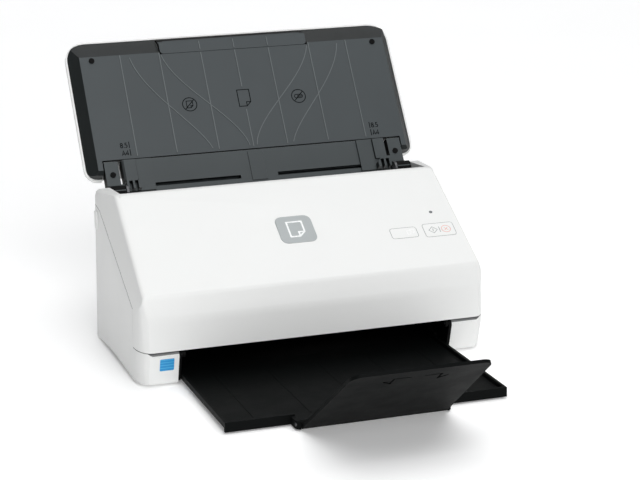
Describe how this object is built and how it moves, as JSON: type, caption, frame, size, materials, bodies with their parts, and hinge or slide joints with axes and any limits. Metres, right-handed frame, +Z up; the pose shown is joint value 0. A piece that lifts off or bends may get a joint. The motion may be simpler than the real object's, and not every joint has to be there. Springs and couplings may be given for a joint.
{
  "type": "document_scanner",
  "caption": "Sheet-fed document scanner with a hinged front cover, fold-back input tray with sliding guides, pull-out output tray and flip-up stop",
  "frame": {"origin": "on the desk, below the middle of the whole object's box with its trays open", "axes": "+X to the right as seen by someone facing the control panel, +Y towards the back, +Z up"},
  "size_m": [0.302, 0.4912, 0.2465],
  "materials": {
    "white_shell": "satin moulded",
    "cool_white": "satin moulded",
    "slate_plastic": "fine grained",
    "charcoal_plastic": "fine grained",
    "steel": "pressed",
    "rubber": "moulded",
    "glass": "polished",
    "circuit_board": "solder mask",
    "gear_plastic": "moulded",
    "brass": "machined",
    "badge_metal": "satin",
    "lamp_lens": "clear",
    "label": "printed"
  },
  "bodies": {
    "case": {"base_floor": "charcoal_plastic", "rubber_feet": "rubber", "side_panel_left": "white_shell", "side_panel_right": "white_shell", "rear_cover": "white_shell", "case_screws": "steel", "mid_deck": "slate_plastic", "side_frame_left": "steel", "side_frame_right": "steel", "lower_guide": "slate_plastic", "rear_sensor_bar": "charcoal_plastic", "rear_sensor_glass": "glass", "main_board": "circuit_board", "power_socket": "charcoal_plastic", "usb_socket": "steel", "shaft_bushes": "gear_plastic", "cover_hinge_pins": "steel", "motor": "steel", "gear_studs": "steel", "case_sticker": "label"},
    "cover": {"front_cover": "white_shell", "cover_frame": "slate_plastic", "front_sensor_bar": "charcoal_plastic", "front_sensor_glass": "glass", "control_board": "circuit_board", "status_light": "lamp_lens", "badge_plate": "badge_metal"},
    "power_key": {"power_key": "cool_white"},
    "scan_key": {"scan_key": "cool_white"},
    "release": {"release_button": "cool_white"},
    "input_tray": {"input_tray_panel": "slate_plastic", "input_tray_shell": "white_shell", "guide_carrier": "slate_plastic", "tray_hinge_pins": "steel", "tray_bumpers": "rubber"},
    "extension": {"tray_extension": "slate_plastic"},
    "guide_left": {"paper_guide_left": "charcoal_plastic"},
    "guide_right": {"paper_guide_right": "charcoal_plastic"},
    "guide_pinion": {"guide_pinion": "gear_plastic"},
    "output_tray": {"output_tray": "charcoal_plastic", "stop_pin": "steel"},
    "output_stop": {"output_stop": "charcoal_plastic"},
    "motor_pinion": {"motor_pinion": "brass"},
    "pick_roller": {"pick_roller": "rubber"},
    "upper_feed": {"upper_feed_roller": "rubber"},
    "lower_feed": {"lower_feed_roller": "rubber"},
    "lower_idler": {"lower_idler_gear": "gear_plastic"},
    "upper_idler": {"upper_idler_gear": "gear_plastic"},
    "paper_flag": {"paper_flag": "charcoal_plastic"},
    "separation": {"separation_roller": "rubber"},
    "upper_pinch": {"upper_pinch_roller": "gear_plastic"},
    "lower_pinch": {"lower_pinch_roller": "gear_plastic"}
  },
  "joints": [
    {"name": "cover_hinge", "type": "hinge", "parent": "case", "child": "cover", "pos_m": [0, -0.00366, 0.0275], "axis": [1, 0, 0], "range_deg": [0, 60]},
    {"name": "power_key_press", "type": "slide", "parent": "cover", "child": "power_key", "axis": [0, 0.5262, -0.8504], "range_m": [0, 0.0008], "stiffness_N_per_m": 800},
    {"name": "scan_key_press", "type": "slide", "parent": "cover", "child": "scan_key", "axis": [0, 0.5262, -0.8504], "range_m": [0, 0.0008], "stiffness_N_per_m": 800},
    {"name": "release_press", "type": "slide", "parent": "case", "child": "release", "axis": [1, 0, 0], "range_m": [0, 0.003], "stiffness_N_per_m": 300},
    {"name": "input_tray_hinge", "type": "hinge", "parent": "case", "child": "input_tray", "pos_m": [0, 0.13881, 0.13099], "axis": [-1, 0, 0], "range_deg": [-123, 0]},
    {"name": "extension_slide", "type": "slide", "parent": "input_tray", "child": "extension", "axis": [0, 0.5635, 0.8261], "range_m": [0, 0.075]},
    {"name": "guide_left_slide", "type": "slide", "parent": "input_tray", "child": "guide_left", "axis": [-1, 0, 0], "range_m": [-0.078, 0]},
    {"name": "guide_right_slide", "type": "slide", "parent": "input_tray", "child": "guide_right", "axis": [1, 0, 0], "range_m": [-0.078, 0]},
    {"name": "guide_pinion_spin", "type": "hinge", "parent": "input_tray", "child": "guide_pinion", "pos_m": [0, 0.161, 0.14151], "axis": [0, -0.8261, 0.5635], "range_deg": [-760, 10]},
    {"name": "output_tray_slide", "type": "slide", "parent": "case", "child": "output_tray", "axis": [0, -1, 0], "range_m": [-0.124, 0]},
    {"name": "output_stop_hinge", "type": "hinge", "parent": "output_tray", "child": "output_stop", "pos_m": [0, -0.13976, 0.005], "axis": [1, 0, 0], "range_deg": [-145, 0]},
    {"name": "upper_feed_spin", "type": "hinge", "parent": "case", "child": "upper_feed", "pos_m": [0, 0.11672, 0.07003], "axis": [1, 0, 0], "continuous": true},
    {"name": "lower_feed_spin", "type": "hinge", "parent": "case", "child": "lower_feed", "pos_m": [0, 0.09643, 0.04029], "axis": [1, 0, 0], "continuous": true},
    {"name": "lower_idler_spin", "type": "hinge", "parent": "case", "child": "lower_idler", "pos_m": [0.126, 0.10658, 0.05516], "axis": [1, 0, 0], "continuous": true},
    {"name": "upper_idler_spin", "type": "hinge", "parent": "case", "child": "upper_idler", "pos_m": [0.129, 0.13447, 0.06704], "axis": [1, 0, 0], "continuous": true},
    {"name": "pick_spin", "type": "hinge", "parent": "case", "child": "pick_roller", "pos_m": [0, 0.13437, 0.08704], "axis": [1, 0, 0], "continuous": true},
    {"name": "motor_spin", "type": "hinge", "parent": "case", "child": "motor_pinion", "pos_m": [0.126, 0.13757, 0.05545], "axis": [1, 0, 0], "continuous": true},
    {"name": "flag_swing", "type": "hinge", "parent": "case", "child": "paper_flag", "pos_m": [0.088, 0.14294, 0.11025], "axis": [1, 0, 0], "range_deg": [0, 40], "stiffness_Nm_per_rad": 0.0005, "springref_deg": -20.05},
    {"name": "separation_spin", "type": "hinge", "parent": "cover", "child": "separation", "pos_m": [0, 0.11446, 0.10062], "axis": [1, 0, 0], "continuous": true},
    {"name": "upper_pinch_spin", "type": "hinge", "parent": "cover", "child": "upper_pinch", "pos_m": [0, 0.10507, 0.07798], "axis": [1, 0, 0], "continuous": true},
    {"name": "lower_pinch_spin", "type": "hinge", "parent": "cover", "child": "lower_pinch", "pos_m": [0, 0.08478, 0.04824], "axis": [1, 0, 0], "continuous": true}
  ],
  "couplings": [
    {"joint": "guide_right_slide", "follows": "guide_left_slide", "ratio": 1},
    {"joint": "guide_pinion_spin", "follows": "guide_left_slide", "rad_per_m": 166.67},
    {"joint": "upper_idler_spin", "follows": "pick_spin", "ratio": -2.3333},
    {"joint": "upper_feed_spin", "follows": "pick_spin", "ratio": 1.1667},
    {"joint": "lower_idler_spin", "follows": "pick_spin", "ratio": -2.3333},
    {"joint": "lower_feed_spin", "follows": "pick_spin", "ratio": 1.1667},
    {"joint": "motor_spin", "follows": "pick_spin", "ratio": 2.3333}
  ]
}
